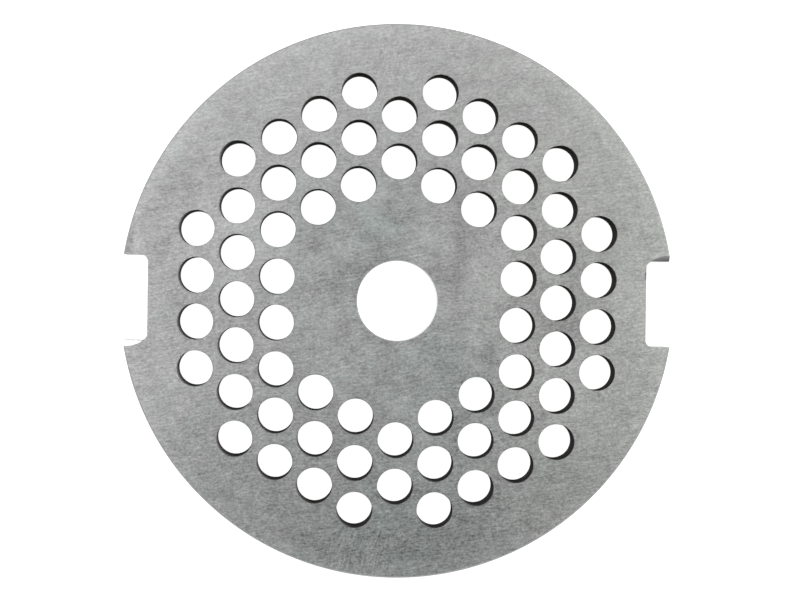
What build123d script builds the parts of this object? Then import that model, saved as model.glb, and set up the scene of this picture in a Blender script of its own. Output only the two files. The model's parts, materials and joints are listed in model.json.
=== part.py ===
"""Perforated plate of a meat grinder: one flat disc of hardened steel, in millimetres.

The plate lies flat with its outlet face on Z = 0 and its cutting face on top.
The Z axis runs up through the centre bore, and the two key notches face +X and -X.
"""

import math
import os

from build123d import *

# Disc
outer_diameter = 62.0
thickness = 5.0
rim_edge_break = 0.15  # chamfer on both edges of the rim

# Centre bore, which carries the end of the worm shaft
bore_diameter = 9.0
bore_edge_break = 0.1

# Round holes that the meat is pushed through
hole_diameter = 4.0
web = 1.2  # steel between two neighbouring holes
hub_land = 6.0  # least solid ring around the bore, where the knife's hub turns

# Key notches in the rim, half a turn apart
notch_width = 9.6
notch_depth = 3.1
notch_corner_radius = 0.8
notch_wall = 1.4  # least steel between the depth of a notch and any hole

# Lead-in bevel on one flank of each notch, open towards the cutting face
lead_in_width = 0.65  # at the cutting face, by the rim
lead_in_depth = 1.5  # down from the cutting face
lead_in_run = 2.5  # length of its curved end, measured from the bottom of the notch
lead_in_drop = 1.05  # how far the curved end comes back towards the notch's middle

overcut = 1.0  # how far a cutting tool runs past the surface that it opens

outer_radius = outer_diameter / 2
bore_radius = bore_diameter / 2
hole_radius = hole_diameter / 2
notch_bottom = outer_radius - notch_depth
notch_mouth = outer_radius + overcut
lead_in_start = thickness - lead_in_depth


def hole_centres():
    """Points of a triangular lattice that leave the hub land and the rim whole."""
    pitch = hole_diameter + web
    column_step = pitch * math.sqrt(3) / 2
    nearest = bore_radius + hub_land + hole_radius
    furthest = notch_bottom - notch_wall - hole_radius
    columns = math.ceil(furthest / column_step)
    rows = math.ceil(furthest / pitch)
    centres = []
    for column in range(-columns, columns + 1):
        for row in range(-rows, rows + 1):
            x = column * column_step
            y = (row + column % 2 / 2) * pitch
            if nearest <= math.hypot(x, y) <= furthest:
                centres.append((x, y))
    return centres


def disc():
    """The turned blank with its bore, all four round edges broken."""
    upright = (Align.CENTER, Align.CENTER, Align.MIN)
    blank = Cylinder(outer_radius, thickness, align=upright)
    blank = chamfer(blank.edges().filter_by(GeomType.CIRCLE), rim_edge_break)
    blank -= Cylinder(bore_radius, thickness, align=upright)
    bore_edges = blank.edges().filter_by(lambda edge: edge.is_closed and edge.radius == bore_radius)
    return chamfer(bore_edges, bore_edge_break)


def notch_tool():
    """What the notch facing +X clears, straight through the plate."""
    length = notch_mouth - notch_bottom
    outline = Pos(notch_bottom + length / 2, 0) * Rectangle(length, notch_width)
    outline = fillet(outline.vertices().group_by(Axis.X)[0], notch_corner_radius)
    return extrude(Pos(0, 0, -overcut) * outline, thickness + 2 * overcut)


def lead_in_outline(height):
    """Outline of the bevel tool at one height: straight by the rim, curved by the corner."""
    flank = notch_width / 2 + lead_in_width * (height - lead_in_start) / lead_in_depth
    shoulder = (notch_bottom + lead_in_run, flank)
    corner = (notch_bottom, flank - lead_in_drop)
    curved_end = TangentArc(shoulder, corner, tangent=(-1, 0))
    sides = Polyline(corner, (notch_bottom, 0), (notch_mouth, 0), (notch_mouth, flank), shoulder)
    return Pos(0, 0, height) * make_face(curved_end + sides)


def lead_in_tool():
    """What the bevel on the +Y flank of the notch facing +X clears."""
    return loft([lead_in_outline(lead_in_start), lead_in_outline(thickness + overcut)], ruled=True)


def perforated_plate():
    drill = Cylinder(hole_radius, 3 * thickness)
    plate = disc() - [Pos(x, y, 0) * drill for x, y in hole_centres()]
    for turn in (0, 180):
        plate -= Rot(0, 0, turn) * notch_tool()
        plate -= Rot(0, 0, turn) * lead_in_tool()
    return plate


plate = perforated_plate()
plate.label = "perforated_plate"
os.makedirs("parts", exist_ok=True)
export_step(plate, "parts/perforated_plate.step")
print(len(hole_centres()), "holes,", round(plate.volume, 1), "mm3,", len(plate.faces()), "faces")
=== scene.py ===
import json
import math

import bmesh
import bpy
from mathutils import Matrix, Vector


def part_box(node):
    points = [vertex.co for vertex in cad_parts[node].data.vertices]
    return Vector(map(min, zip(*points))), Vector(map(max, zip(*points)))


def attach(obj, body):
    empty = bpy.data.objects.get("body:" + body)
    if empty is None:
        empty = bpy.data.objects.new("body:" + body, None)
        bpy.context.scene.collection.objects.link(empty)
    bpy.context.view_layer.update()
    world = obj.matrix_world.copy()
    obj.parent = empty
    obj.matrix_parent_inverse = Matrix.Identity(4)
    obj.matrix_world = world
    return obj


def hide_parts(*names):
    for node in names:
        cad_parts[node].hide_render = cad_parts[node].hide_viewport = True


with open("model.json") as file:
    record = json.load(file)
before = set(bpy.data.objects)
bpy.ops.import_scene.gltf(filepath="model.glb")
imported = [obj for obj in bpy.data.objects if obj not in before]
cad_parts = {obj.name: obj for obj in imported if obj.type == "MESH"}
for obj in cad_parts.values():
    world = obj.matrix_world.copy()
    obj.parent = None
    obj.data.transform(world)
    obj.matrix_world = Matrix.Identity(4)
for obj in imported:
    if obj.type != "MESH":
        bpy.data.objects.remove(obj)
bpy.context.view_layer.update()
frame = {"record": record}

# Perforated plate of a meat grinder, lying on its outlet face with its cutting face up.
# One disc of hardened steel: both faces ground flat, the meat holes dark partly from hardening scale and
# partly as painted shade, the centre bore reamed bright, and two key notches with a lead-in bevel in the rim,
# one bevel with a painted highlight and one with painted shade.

MM = 0.001

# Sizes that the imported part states
mounts = {mount["name"]: mount for mount in frame["record"]["mounts"]}
plate_low, plate_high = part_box("perforated_plate")
thickness = plate_high[2] - plate_low[2]
outer_radius = mounts["rim"]["dims"]["r_mm"] * MM
bore_radius = mounts["centre_bore"]["dims"]["r_mm"] * MM
rim_break = (thickness - mounts["rim"]["dims"]["length_mm"] * MM) / 2
bore_break = (thickness - mounts["centre_bore"]["dims"]["length_mm"] * MM) / 2

# Sizes that it doesn't, as in the drawing
hole_radius = 2.0 * MM
web = 1.2 * MM
hub_land = 6.0 * MM
notch_half_width = 4.8 * MM
notch_depth = 3.1 * MM
notch_corner_radius = 0.8 * MM
notch_wall = 1.4 * MM
lead_in_width = 0.65 * MM
lead_in_depth = 1.5 * MM
lead_in_run = 2.5 * MM
lead_in_drop = 1.05 * MM

# What drilling leaves: a broken edge, and a hole that isn't quite upright
hole_break = 0.04 * MM
hole_lean = math.radians(0.5)

pitch = 2 * hole_radius + web
notch_bottom = outer_radius - notch_depth
lead_in_start = thickness - lead_in_depth
nearest_hole = bore_radius + hub_land + hole_radius
furthest_hole = notch_bottom - notch_wall - hole_radius


# ---------------------------------------------------------------- node trees

def add(tree, kind, *values, out=0, **settings):
    """Adds a node, gives its inputs values or links in order, and returns one output by name or number."""
    node = tree.nodes.new(kind)
    for name, value in settings.items():
        setattr(node, name, value)
    for socket, value in zip(node.inputs, values):
        if isinstance(value, bpy.types.NodeSocket):
            tree.links.new(value, socket)
        elif value is not None:
            socket.default_value = value
    return node.outputs[out]


def calc(tree, operation, *values):
    """One step of arithmetic."""
    return add(tree, "ShaderNodeMath", *values, operation=operation)


def vector(tree, operation, *values, out="Vector"):
    """One step of vector arithmetic, which gives a vector or, from the output Value, a number."""
    return add(tree, "ShaderNodeVectorMath", *values, operation=operation, out=out)


def axis(tree, place, name):
    """One coordinate of a place: X, Y or Z."""
    return add(tree, "ShaderNodeSeparateXYZ", place, out=name)


def level_part(tree, place):
    """A place with its height taken away."""
    return vector(tree, "MULTIPLY", place, (1, 1, 0))


# ---------------------------------------------------------------- solid shapes

def mesh_object(name, shape, materials=()):
    """Turns a finished bmesh into an object at the origin."""
    mesh = bpy.data.meshes.new(name)
    shape.to_mesh(mesh)
    shape.free()
    for material in materials:
        mesh.materials.append(material)
    made = bpy.data.objects.new(name, mesh)
    bpy.context.scene.collection.objects.link(made)
    return made


def skin(shape, loops):
    """Closes a stack of loops with equally many points into one solid."""
    rings = [[shape.verts.new(point) for point in loop] for loop in loops]
    for lower, painted_light_reach in zip(rings, rings[1:]):
        for i in range(len(lower)):
            following = (i + 1) % len(lower)
            shape.faces.new((lower[i], lower[following], painted_light_reach[following], painted_light_reach[i]))
    shape.faces.new(list(reversed(rings[0])))
    shape.faces.new(rings[-1])


def turned_tool(name, radius, edge_break, segments, material):
    """A straight cutter that flares where it passes the two faces, which breaks the hole's edges."""
    overcut = 1 * MM
    profile = [
        (radius + edge_break + overcut, -overcut),
        (radius, edge_break),
        (radius, thickness - edge_break),
        (radius + edge_break + overcut, thickness + overcut),
    ]
    turns = [2 * math.pi * i / segments for i in range(segments)]
    loops = []
    for across, height in profile:
        loops.append([(across * math.cos(turn), across * math.sin(turn), height) for turn in turns])
    shape = bmesh.new()
    skin(shape, loops)
    return mesh_object(name, shape, [material])


def flank_at(depth_in, opening):
    """Half width of a notch, this far from its bottom, where the bevel has opened by this much."""
    from_corner = max(0.0, notch_corner_radius - depth_in)
    straight = notch_half_width - notch_corner_radius
    straight += math.sqrt(notch_corner_radius**2 - from_corner**2)
    if opening <= 0:
        return straight
    bend = (lead_in_run**2 + lead_in_drop**2) / (2 * lead_in_drop)
    from_shoulder = max(0.0, lead_in_run - depth_in)
    bevelled = notch_half_width + opening - bend + math.sqrt(bend**2 - from_shoulder**2)
    return max(straight, bevelled)


def flank_points(radius, opening, side):
    """Points along one flank of the notch facing +X, from its bottom out to the rim."""
    steps = 24
    crowding = 1.5  # Above 1, the points lie closer together in the corner
    reach = math.sqrt(radius**2 - (notch_half_width + max(0.0, opening)) ** 2) - notch_bottom
    points = []
    for step in range(steps + 1):
        depth_in = reach * (step / steps) ** crowding
        points.append((notch_bottom + depth_in, side * flank_at(depth_in, opening)))
    return points


def half_outline(height):
    """The notch facing +X and the rim from there, anticlockwise, to the other notch."""
    rim_steps = 170
    edge = min(height, thickness - height)
    radius = outer_radius - max(0.0, rim_break - edge)
    opening = lead_in_width * (height - lead_in_start) / lead_in_depth
    inwards = flank_points(radius, 0.0, -1)[::-1]
    outwards = flank_points(radius, opening, 1)
    start = math.atan2(outwards[-1][1], outwards[-1][0])
    end = math.pi + math.atan2(inwards[0][1], inwards[0][0])
    rim = []
    for step in range(1, rim_steps):
        turn = start + (end - start) * step / rim_steps
        rim.append((radius * math.cos(turn), radius * math.sin(turn)))
    return inwards + outwards + rim


def plate_blank():
    """The disc with its two notches, before any hole is made."""
    bevel_steps = 6
    bevel_rise = (lead_in_depth - rim_break) / bevel_steps
    heights = [0.0, rim_break]
    heights += [lead_in_start + i * bevel_rise for i in range(bevel_steps + 1)]
    heights += [thickness]
    loops = []
    for height in heights:
        half = half_outline(height)
        loops.append([(x, y, height) for x, y in half] + [(-x, -y, height) for x, y in half])
    shape = bmesh.new()
    skin(shape, loops)
    return mesh_object("ground_plate", shape)


# ---------------------------------------------------------------- perforation

def lattice_points(tree, given):
    """A grid of columns and rows, every second column raised by half a pitch."""
    column_step = calc(tree, "MULTIPLY", given["Pitch"], math.sqrt(3) / 2)
    columns = calc(tree, "CEIL", calc(tree, "DIVIDE", given["Furthest"], column_step))
    rows = calc(tree, "CEIL", calc(tree, "DIVIDE", given["Furthest"], given["Pitch"]))
    grid = add(
        tree,
        "GeometryNodeMeshGrid",
        calc(tree, "MULTIPLY", calc(tree, "MULTIPLY", columns, 2.0), column_step),
        calc(tree, "MULTIPLY", calc(tree, "MULTIPLY", rows, 2.0), given["Pitch"]),
        calc(tree, "MULTIPLY_ADD", columns, 2.0, 1.0),
        calc(tree, "MULTIPLY_ADD", rows, 2.0, 1.0),
    )
    across = axis(tree, add(tree, "GeometryNodeInputPosition"), "X")
    column = calc(tree, "ROUND", calc(tree, "DIVIDE", across, column_step))
    odd = calc(tree, "MODULO", calc(tree, "ABSOLUTE", column), 2.0)
    raised = calc(tree, "MULTIPLY", calc(tree, "MULTIPLY", odd, 0.5), given["Pitch"])
    offset = add(tree, "ShaderNodeCombineXYZ", 0.0, raised, 0.0)
    return add(tree, "GeometryNodeSetPosition", grid, None, None, offset)


def placed_drills(tree, given):
    """A drill at each lattice point between the hub land and the solid rim, each leaning its own way."""
    place = add(tree, "GeometryNodeInputPosition")
    distance = vector(tree, "LENGTH", place, out="Value")
    outside_hub = add(tree, "FunctionNodeCompare", distance, given["Nearest"], operation="GREATER_EQUAL")
    inside_rim = add(tree, "FunctionNodeCompare", distance, given["Furthest"], operation="LESS_EQUAL")
    drilled = add(tree, "FunctionNodeBooleanMath", outside_hub, inside_rim, operation="AND")
    drill = add(tree, "GeometryNodeObjectInfo", given["Drill"], False, out="Geometry")
    most = add(tree, "ShaderNodeCombineXYZ", given["Lean"], given["Lean"], 0.0)
    least = vector(tree, "MULTIPLY", most, (-1, -1, 0))
    lean = add(tree, "FunctionNodeRandomValue", least, most, data_type="FLOAT_VECTOR")
    lean.node.inputs["Seed"].default_value = 7
    lattice = lattice_points(tree, given)
    return add(tree, "GeometryNodeInstanceOnPoints", lattice, drilled, drill, None, None, lean)


def notch_walls(tree, given):
    """True for walls inside the rim or not facing outwards, and for the flat faces, finished later."""
    outward_least = 0.5
    level = level_part(tree, add(tree, "GeometryNodeInputPosition"))
    outwards = vector(tree, "NORMALIZE", level)
    facing = vector(tree, "DOT_PRODUCT", add(tree, "GeometryNodeInputNormal"), outwards, out="Value")
    sideways = add(tree, "FunctionNodeCompare", facing, outward_least, operation="LESS_THAN")
    from_axis = vector(tree, "LENGTH", level, out="Value")
    inside = add(tree, "FunctionNodeCompare", from_axis, given["Within Rim"], operation="LESS_THAN")
    return add(tree, "FunctionNodeBooleanMath", sideways, inside, operation="OR")


def flat_faces(tree):
    """True for both flat faces."""
    upright_least = 0.999
    upward = calc(tree, "ABSOLUTE", axis(tree, add(tree, "GeometryNodeInputNormal"), "Z"))
    return add(tree, "FunctionNodeCompare", upward, upright_least, operation="GREATER_THAN")


def perforation_tree():
    """Cuts the meat holes and the bore in the blank, and gives every surface its finish."""
    tree = bpy.data.node_groups.new("perforation", "GeometryNodeTree")
    sockets = [
        ("Blank", "NodeSocketGeometry"),
        ("Drill", "NodeSocketObject"),
        ("Reamer", "NodeSocketObject"),
        ("Pitch", "NodeSocketFloat"),
        ("Nearest", "NodeSocketFloat"),
        ("Furthest", "NodeSocketFloat"),
        ("Lean", "NodeSocketFloat"),
        ("Within Rim", "NodeSocketFloat"),
        ("Rim Material", "NodeSocketMaterial"),
        ("Notch Material", "NodeSocketMaterial"),
        ("Face Material", "NodeSocketMaterial"),
    ]
    for name, kind in sockets:
        tree.interface.new_socket(name, in_out="INPUT", socket_type=kind)
    tree.interface.new_socket("Plate", in_out="OUTPUT", socket_type="NodeSocketGeometry")
    given = tree.nodes.new("NodeGroupInput").outputs

    # The walls take their finish before the holes are cut, and the drills bring that of the holes
    blank = add(tree, "GeometryNodeSetMaterial", given["Blank"], True, given["Rim Material"])
    blank = add(tree, "GeometryNodeSetMaterial", blank, notch_walls(tree, given), given["Notch Material"])
    drills = placed_drills(tree, given)
    reamer = add(tree, "GeometryNodeObjectInfo", given["Reamer"], False, out="Geometry")
    cut = tree.nodes.new("GeometryNodeMeshBoolean")
    cut.operation = "DIFFERENCE"
    cut.solver = "MANIFOLD"
    tree.links.new(blank, cut.inputs["Mesh 1"])
    tree.links.new(drills, cut.inputs["Mesh 2"])
    tree.links.new(reamer, cut.inputs["Mesh 2"])

    plate = add(tree, "GeometryNodeRealizeInstances", cut.outputs["Mesh"])
    plate = add(tree, "GeometryNodeSetMaterial", plate, flat_faces(tree), given["Face Material"])
    tree.links.new(plate, tree.nodes.new("NodeGroupOutput").inputs["Plate"])
    return tree


def perforated_plate(face, rim, notch, hole_wall, bore_wall):
    """The finished plate as one plain mesh."""
    crease = math.radians(25)
    blank = plate_blank()
    drill = turned_tool("drill", hole_radius, hole_break, segments=64, material=hole_wall)
    reamer = turned_tool("reamer", bore_radius, bore_break, segments=160, material=bore_wall)
    tree = perforation_tree()
    modifier = blank.modifiers.new("perforation", "NODES")
    modifier.node_group = tree
    values = {
        "Drill": drill,
        "Reamer": reamer,
        "Pitch": pitch,
        "Nearest": nearest_hole,
        "Furthest": furthest_hole,
        "Lean": hole_lean,
        "Within Rim": outer_radius - 2 * rim_break,
        "Rim Material": rim,
        "Notch Material": notch,
        "Face Material": face,
    }
    for socket in tree.interface.items_tree:
        if socket.name in values:
            modifier[socket.identifier] = values[socket.name]
    evaluated = blank.evaluated_get(bpy.context.evaluated_depsgraph_get())
    mesh = bpy.data.meshes.new_from_object(evaluated)
    blank.modifiers.clear()
    blank.data = mesh
    mesh.name = "ground_plate"
    mesh.shade_smooth()
    mesh.set_sharp_from_angle(angle=crease)
    for tool in (drill, reamer):
        bpy.data.objects.remove(tool)
    return blank


# ---------------------------------------------------------------- patterns

def object_place(tree):
    """Where a point is on the object, in metres."""
    return add(tree, "ShaderNodeTexCoord", out="Object")


def turned(tree, place, degrees, along, across):
    """Coordinates turned by an angle about Z, with units this long along that direction and across it."""
    turn = (0.0, 0.0, math.radians(degrees))
    return add(tree, "ShaderNodeMapping", place, (0, 0, 0), turn, (along, across, MM), vector_type="TEXTURE")


def noise(tree, place, size=1.0, detail=2.0, rough=0.5):
    """Smooth noise about zero with features of this size, mostly within a quarter either side."""
    value = add(tree, "ShaderNodeTexNoise", place, None, 1 / size, detail, rough)
    return calc(tree, "SUBTRACT", value, 0.5)


def wander(tree, place, size, amount):
    """Coordinates that drift sideways slowly, so that straight marks bend and round ones lose their shape."""
    drift = add(tree, "ShaderNodeTexNoise", place, None, 1 / size, 1.0, 0.5, out="Color")
    drift = vector(tree, "SUBTRACT", drift, (0.5, 0.5, 0.5))
    drift = vector(tree, "MULTIPLY", drift, (amount, amount, 0.0))
    return vector(tree, "ADD", place, drift)


def layered(tree, base, *layers):
    """A base value with layers on it, each a value and its weight."""
    total = base
    for value, weight in layers:
        total = calc(tree, "MULTIPLY_ADD", value, weight, total)
    return total


def ramp(tree, value, low, high, start=0.0, end=1.0):
    """A soft step from start to end as the value goes from low to high."""
    return add(tree, "ShaderNodeMapRange", value, low, high, start, end, interpolation_type="SMOOTHSTEP")


def mixed(tree, factor, first, second):
    """The first colour where the factor is nothing, and the second where it is one."""
    return add(tree, "ShaderNodeMix", factor, None, None, None, first, second, data_type="VECTOR", out=1)


def distance_to(tree, place, across, up):
    """How far a point of either face is from a place on it."""
    return vector(tree, "DISTANCE", level_part(tree, place), (across, up, 0), out="Value")


def stains(tree, place, *patches):
    """The sum of soft round stains, each given as across, up and radius in millimetres, and its weight."""
    solid_share = 0.2
    layers = []
    for across, up, radius, weight in patches:
        distance = distance_to(tree, place, across * MM, up * MM)
        layers.append((ramp(tree, distance, solid_share * radius * MM, radius * MM, 1.0, 0.0), weight))
    return layered(tree, 0.0, *layers)


def streak(tree, place, across, up, half_width, half_length):
    """One along the middle of a short straight mark that runs along Y, falling to nothing at its edge."""
    solid_share = 0.3
    shape = (1 / (half_width * MM), 1 / (half_length * MM), 0)
    shifted = vector(tree, "SUBTRACT", place, (across * MM, up * MM, 0))
    stretched = vector(tree, "MULTIPLY", shifted, shape)
    return ramp(tree, vector(tree, "LENGTH", stretched, out="Value"), solid_share, 1.0, 1.0, 0.0)


def hole_edges(tree, place, reach):
    """One along the edge of every drilled hole, falling to nothing this far from it."""
    # The holes' lattice is two rectangular ones, the second shifted by half a cell both ways
    cell = (pitch * math.sqrt(3), pitch, MM)
    half_cell = tuple(side / 2 for side in cell)
    minus_half = tuple(-side for side in half_cell)
    second = (half_cell[0], half_cell[1], 0)
    level = level_part(tree, place)
    edges = 0.0
    for origin in ((0, 0, 0), second):
        shifted = vector(tree, "SUBTRACT", level, origin)
        from_centre = vector(tree, "WRAP", shifted, half_cell, minus_half)
        centre = vector(tree, "SUBTRACT", level, from_centre)
        distance = vector(tree, "LENGTH", from_centre, out="Value")
        from_axis = vector(tree, "LENGTH", centre, out="Value")
        beyond_hub = calc(tree, "GREATER_THAN", from_axis, nearest_hole - web / 2)
        within = calc(tree, "LESS_THAN", from_axis, furthest_hole + web / 2)
        drilled = calc(tree, "MULTIPLY", beyond_hub, within)
        near = ramp(tree, distance, hole_radius, hole_radius + reach, 1.0, 0.0)
        edges = calc(tree, "MULTIPLY_ADD", near, drilled, edges)
    return edges


def tooled(tree, place, around, upward):
    """Marks that run round a turned or drilled wall: long round it, fine up its height."""
    stretch = (around, around, upward)
    grooves = add(tree, "ShaderNodeMapping", place, None, None, stretch, vector_type="TEXTURE")
    return noise(tree, grooves, detail=3, rough=0.6)


# ---------------------------------------------------------------- materials

def new_material(name, **constants):
    """A material, its node tree and its shader, with the values that hold all over the surface."""
    material = bpy.data.materials.new(name)
    material.use_nodes = True
    tree = material.node_tree
    shader = tree.nodes["Principled BSDF"]
    for socket, value in constants.items():
        shader.inputs[socket.replace("_", " ")].default_value = value
    return material, tree, shader


def colour_by(tree, shader, tone, colour):
    """Gives the shader a colour times a tone."""
    base = vector(tree, "SCALE", colour, None, None, tone)
    tree.links.new(base, shader.inputs["Base Color"])


def bump_by(tree, shader, depth, *layers):
    """Gives the shader relief of this depth, from layers that are each a value and its weight."""
    bump = add(tree, "ShaderNodeBump", 1.0, depth, None, layered(tree, 0.0, *layers))
    tree.links.new(bump, shader.inputs["Normal"])


def cross_marks(tree, place, bent, spread):
    """Marks across the grinding direction, in a few patches and most of all near the rim at +Y and -Y."""
    marks = noise(tree, turned(tree, bent, 74, 1.4 * MM, 0.24 * MM), detail=1)
    patches = ramp(tree, noise(tree, place, 7 * MM, detail=1), 0.1, 0.3)
    rework = stains(tree, spread, (-2, 26, 8, 0.6), (-4, -28, 7, 0.8))
    return calc(tree, "MULTIPLY", marks, layered(tree, rework, (patches, 0.4)))


def seen_clouds(tree, place, clouds):
    """Clouds, strongest in the middle of the face and fainter towards the rim."""
    from_middle = distance_to(tree, place, 5 * MM, -2 * MM)
    return calc(tree, "MULTIPLY", clouds, ramp(tree, from_middle, 12 * MM, 26 * MM, 0.46, 0.14))


def light_stains(tree, spread):
    """Stains that washing has left paler than the steel round them."""
    return stains(tree, spread, (11, 1, 10, 0.8), (-21, -5, 9, 0.7), (24, -11, 13, 1.0))


def old_shades(tree, place):
    """Faint wide shades from use, darker where the weight is above nothing and paler where it is below."""
    return stains(
        tree,
        place,
        (17, 1, 8, 1.2),
        (-1, 8, 4, 1.8),
        (5, 11, 7, 0.7),
        (6, -27, 9, 0.8),
        (-8, -24, 10, 0.7),
        (-21, 20, 13, 0.5),
        (-28, 11, 8, 0.9),
        (-21, -3, 7, 0.6),
        (0, 29, 9, -0.3),
        (-28, -11, 9, -1.2),
        (17, -11, 7, -1.2),
        (30, 0, 8, -2.0),
        (-17, 7, 8, -1.1),
    )


def worn(tree, place, tone, mottle):
    """A tone with a rubbed rim, grime round the holes, a smudge by the -X notch and a nick by the +X one."""
    from_axis = distance_to(tree, place, 0, 0)
    rubbed = ramp(tree, from_axis, outer_radius - 2.2 * MM, outer_radius - 0.6 * MM)
    uneven = layered(tree, 1.0, (mottle, 2.0))
    grime = calc(tree, "MULTIPLY", hole_edges(tree, place, 0.4 * MM), uneven)
    smudge = streak(tree, place, -30.3, 6.3, 1.3, 3.2)
    nick = streak(tree, place, 27.85, 3.2, 0.16, 0.8)
    return layered(tree, tone, (rubbed, 0.045), (grime, -0.025), (smudge, -0.12), (nick, -0.3))


def oil_film(tree, place, spread, dark, clouds):
    """The tint of old oil: greenish in blotches and on the dark stains, and yellower towards +X."""
    blotches = noise(tree, place, 2.5 * MM)
    lower = ramp(tree, axis(tree, place, "Y"), 2 * MM, -14 * MM)
    drops = stains(
        tree,
        place,
        (-2, 9, 4, 0.6),
        (-1, -9, 6, 0.4),
        (-1, -25, 5, 0.3),
        (25, 5, 4, 0.7),
        (18, -20, 4, 0.7),
        (-30, 0, 18, -0.4),
    )
    oily = layered(tree, drops, (dark, 0.6), (clouds, 1.5), (blotches, 1.9), (lower, 0.25))
    film = mixed(tree, ramp(tree, oily, -0.3, 2.2), (1.0, 1.0, 1.0), (0.88, 1.0, 0.975))
    sideways = layered(tree, axis(tree, spread, "X"), (blotches, 40 * MM))
    return mixed(tree, ramp(tree, sideways, -10 * MM, 32 * MM), film, (0.98, 1.0, 0.972))


def ground_steel():
    """Surface-ground steel: short bent grinding marks, crossed in patches, over old mottled stains."""
    material, tree, shader = new_material("ground_face", Metallic=1.0)
    place = object_place(tree)
    bent = wander(tree, place, 9 * MM, 2.2 * MM)
    spread = wander(tree, place, 5 * MM, 9 * MM)

    marks = noise(tree, turned(tree, bent, 8, 0.55 * MM, 0.17 * MM), rough=0.6)
    streaks = noise(tree, turned(tree, bent, 10, 3.2 * MM, 0.3 * MM), rough=0.6)
    crossing = cross_marks(tree, place, bent, spread)
    grain = noise(tree, place, 0.26 * MM, rough=0.7)
    mottle = noise(tree, place, 1.6 * MM, detail=4, rough=0.72)
    clouds = noise(tree, place, 5 * MM)
    detail = layered(tree, 0.0, (marks, 0.95), (streaks, 0.5), (grain, 0.86), (crossing, 0.8), (mottle, 0.65))
    # The marks are harshest at -Y
    harsh = ramp(tree, axis(tree, place, "Y"), -outer_radius, outer_radius, 1.25, 0.85)
    detail = calc(tree, "MULTIPLY", detail, harsh)

    # Oil and old rust have left a few dark stains
    dark = stains(tree, spread, (-5, 6, 14, 1.0), (6, -9, 12, 0.8), (3, -28, 16, 1.3), (6, -6, 6, 1.0))
    tone = layered(tree, 0.49, (detail, 0.48), (seen_clouds(tree, place, clouds), 1.0), (dark, -0.055))
    tone = layered(tree, tone, (light_stains(tree, spread), 0.045), (old_shades(tree, place), -0.045))
    colour_by(tree, shader, worn(tree, place, tone, mottle), oil_film(tree, place, spread, dark, clouds))
    rough = layered(tree, 0.53, (grain, 0.12), (clouds, -0.15), (dark, 0.04))
    tree.links.new(rough, shader.inputs["Roughness"])
    bump_by(tree, shader, 0.0035 * MM, (marks, 1.0), (streaks, 0.8), (crossing, 0.8), (grain, 0.6))
    return material


def turned_steel():
    """The rim: fine turning grooves, dulled, with dark flecks."""
    material, tree, shader = new_material("turned_rim", Metallic=1.0)
    place = object_place(tree)
    grooves = tooled(tree, place, 9 * MM, 0.07 * MM)
    flecks = noise(tree, place, 0.5 * MM, detail=3, rough=0.6)
    clouds = noise(tree, place, 4 * MM)
    tone = layered(tree, 0.38, (grooves, 0.2), (flecks, 0.12), (clouds, 0.14))
    colour_by(tree, shader, tone, (0.98, 1.0, 0.985))
    rough = layered(tree, 0.48, (grooves, 0.1), (clouds, 0.2))
    tree.links.new(rough, shader.inputs["Roughness"])
    bump_by(tree, shader, 0.01 * MM, (grooves, 1.0), (flecks, 0.3))
    return material


def milled_steel():
    """The notch walls: cutter marks up their height, and two bevels, the one at -X painted near white as a
    painted highlight and the one at +X painted dark as painted shade.
    """
    material, tree, shader = new_material("milled_notch", Metallic=1.0)
    place = object_place(tree)
    marks = tooled(tree, place, 0.16 * MM, 2.5 * MM)
    flecks = noise(tree, place, 0.35 * MM, detail=3, rough=0.6)
    sideways = calc(tree, "ABSOLUTE", axis(tree, place, "Y"))
    bevel = ramp(tree, sideways, notch_half_width, notch_half_width + 0.06 * MM)
    # Painted highlight: the bevel of the -X notch is made near white, as if light catches it
    bright = ramp(tree, axis(tree, place, "X"), -1 * MM, 1 * MM, 1.0, 0.0)
    # Painted shade: the bevel of the +X notch is made dark, as if it faces away from the light
    painted_dark_bevel = ramp(tree, sideways, notch_half_width, notch_half_width + lead_in_width, 0.05, 0.17)
    painted_bevel_tone = mixed(tree, bright, painted_dark_bevel, (0.96, 0.96, 0.96))
    wall_tone = mixed(tree, bevel, (0.33, 0.335, 0.33), painted_bevel_tone)
    colour_by(tree, shader, layered(tree, 1.0, (marks, 0.9), (flecks, 0.5)), wall_tone)
    rough = layered(tree, 0.45, (marks, 0.2), (calc(tree, "MULTIPLY", bevel, bright), -0.25))
    tree.links.new(rough, shader.inputs["Roughness"])
    bump_by(tree, shader, 0.01 * MM, (marks, 1.0), (flecks, 0.5))
    return material


def hole_scale_and_shade():
    """The drilled walls: black scale with drill marks, rubbed near the faces, darker still as painted shade,
    and with painted light on walls that face +X, strongest near the cutting face.
    """
    material, tree, shader = new_material("hole_scale_and_shade", Roughness=1.0, Specular_IOR_Level=0.0)
    place = object_place(tree)
    drilled = tooled(tree, place, 1.5 * MM, 0.12 * MM)
    flecks = noise(tree, place, 0.4 * MM, detail=3, rough=0.6)
    height = axis(tree, place, "Z")
    from_middle = calc(tree, "ABSOLUTE", calc(tree, "SUBTRACT", height, thickness / 2))
    rubbed = ramp(tree, from_middle, thickness / 2 - 0.6 * MM, thickness / 2)
    facing = axis(tree, add(tree, "ShaderNodeNewGeometry", out="Normal"), "X")
    # Painted light: walls facing +X are painted paler, most near the cutting face, as if a lamp from +X lit
    # them
    painted_light_reach = ramp(tree, height, thickness - 2.4 * MM, thickness - 0.4 * MM, 0.3, 1.0)
    painted_side_light = calc(tree, "MULTIPLY", ramp(tree, facing, -0.1, 1.1), painted_light_reach)
    # The low base tone is partly real dark scale and partly painted shade inside the holes
    tone = layered(tree, 0.056, (drilled, 0.05), (flecks, 0.05), (rubbed, 0.04), (painted_side_light, 0.2))
    colour_by(tree, shader, tone, (1.0, 0.98, 0.95))
    bump_by(tree, shader, 0.02 * MM, (drilled, 1.0), (flecks, 0.5))
    return material


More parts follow.
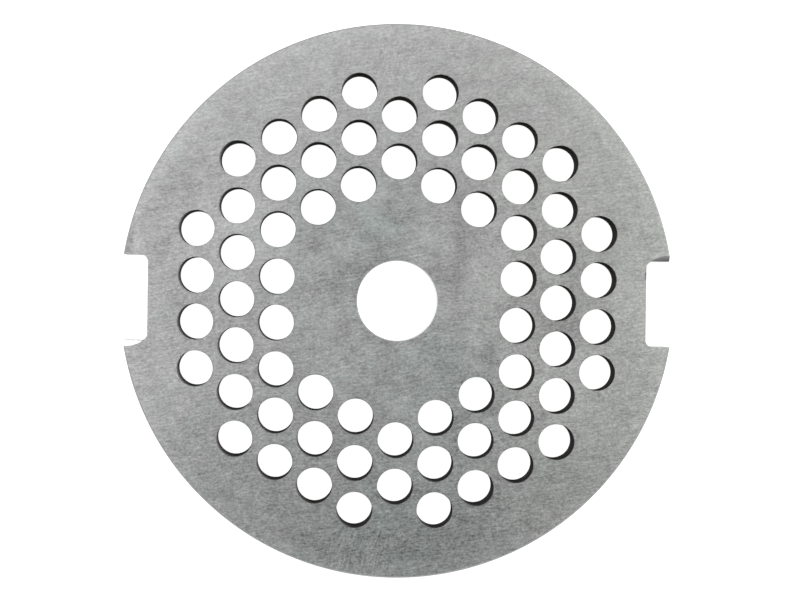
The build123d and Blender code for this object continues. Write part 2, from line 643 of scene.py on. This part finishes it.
def reamed_steel():
    """The bore: bright, with fine reamer rings."""
    material, tree, shader = new_material("reamed_bore", Metallic=1.0)
    place = object_place(tree)
    rings = tooled(tree, place, 4 * MM, 0.05 * MM)
    flecks = noise(tree, place, 0.6 * MM, detail=3, rough=0.6)
    colour_by(tree, shader, layered(tree, 0.6, (rings, 0.4), (flecks, 0.25)), (0.99, 1.0, 0.99))
    rough = layered(tree, 0.33, (rings, 0.15), (flecks, 0.1))
    tree.links.new(rough, shader.inputs["Roughness"])
    bump_by(tree, shader, 0.012 * MM, (rings, 1.0), (flecks, 0.3))
    return material


# ---------------------------------------------------------------- studio

def light_table():
    """A pale floor that glows softly, so that no shadow falls round the plate."""
    half = 2.0
    material, tree, shader = new_material("light_table", Roughness=1.0, Specular_IOR_Level=0.0)
    shader.inputs["Base Color"].default_value = (0.5, 0.5, 0.5, 1)
    shader.inputs["Emission Color"].default_value = (1, 1, 1, 1)
    shader.inputs["Emission Strength"].default_value = 1.0
    shape = bmesh.new()
    corners = [(-half, -half, 0), (half, -half, 0), (half, half, 0), (-half, half, 0)]
    shape.faces.new([shape.verts.new(corner) for corner in corners])
    floor = mesh_object("light_table", shape, [material])


def softbox(name, azimuth, elevation, power):
    """A square lamp aimed at the plate, from an azimuth anticlockwise from +X."""
    size = 0.12
    distance = 0.28
    around = math.radians(azimuth)
    up = math.radians(elevation)
    towards = Vector((math.cos(around) * math.cos(up), math.sin(around) * math.cos(up), math.sin(up)))
    data = bpy.data.lights.new(name, "AREA")
    data.size = size
    data.energy = power
    lamp = bpy.data.objects.new(name, data)
    lamp.location = towards * distance
    lamp.rotation_euler = (-towards).to_track_quat("-Z", "Y").to_euler()
    lamp.visible_camera = False
    bpy.context.scene.collection.objects.link(lamp)


def studio_world():
    """A sky that is bright at the horizon and dim overhead."""
    world = bpy.data.worlds.new("studio")
    bpy.context.scene.world = world
    world.use_nodes = True
    tree = world.node_tree
    upward = axis(tree, add(tree, "ShaderNodeTexCoord", out="Generated"), "Z")
    glow = ramp(tree, upward, 0.05, 0.45, 1.0, 0.08)
    tree.links.new(glow, tree.nodes["Background"].inputs["Color"])


def camera():
    """Almost straight above the plate, a little towards -X, and turned by under a degree."""
    place = Vector((-6.84, 0.95, 292.0)) * MM
    target = Vector((0.28, 0.0, 5.0)) * MM
    roll = math.radians(0.784)
    data = bpy.data.cameras.new("camera")
    data.lens = 115.48
    data.clip_start = 0.01
    seen = bpy.data.objects.new("camera", data)
    aim = target - place
    seen.location = place
    seen.rotation_euler = (math.atan(-aim.y / aim.z), math.atan(aim.x / aim.z), roll)
    bpy.context.scene.collection.objects.link(seen)
    bpy.context.scene.camera = seen


plate = perforated_plate(ground_steel(), turned_steel(), milled_steel(), hole_scale_and_shade(), reamed_steel())
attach(plate, "root")
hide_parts("perforated_plate")

light_table()
softbox("key", 150, 55, 0.36)
softbox("fill", 22, 40, 0.56)
studio_world()
camera()
bpy.context.scene.view_settings.view_transform = "Standard"
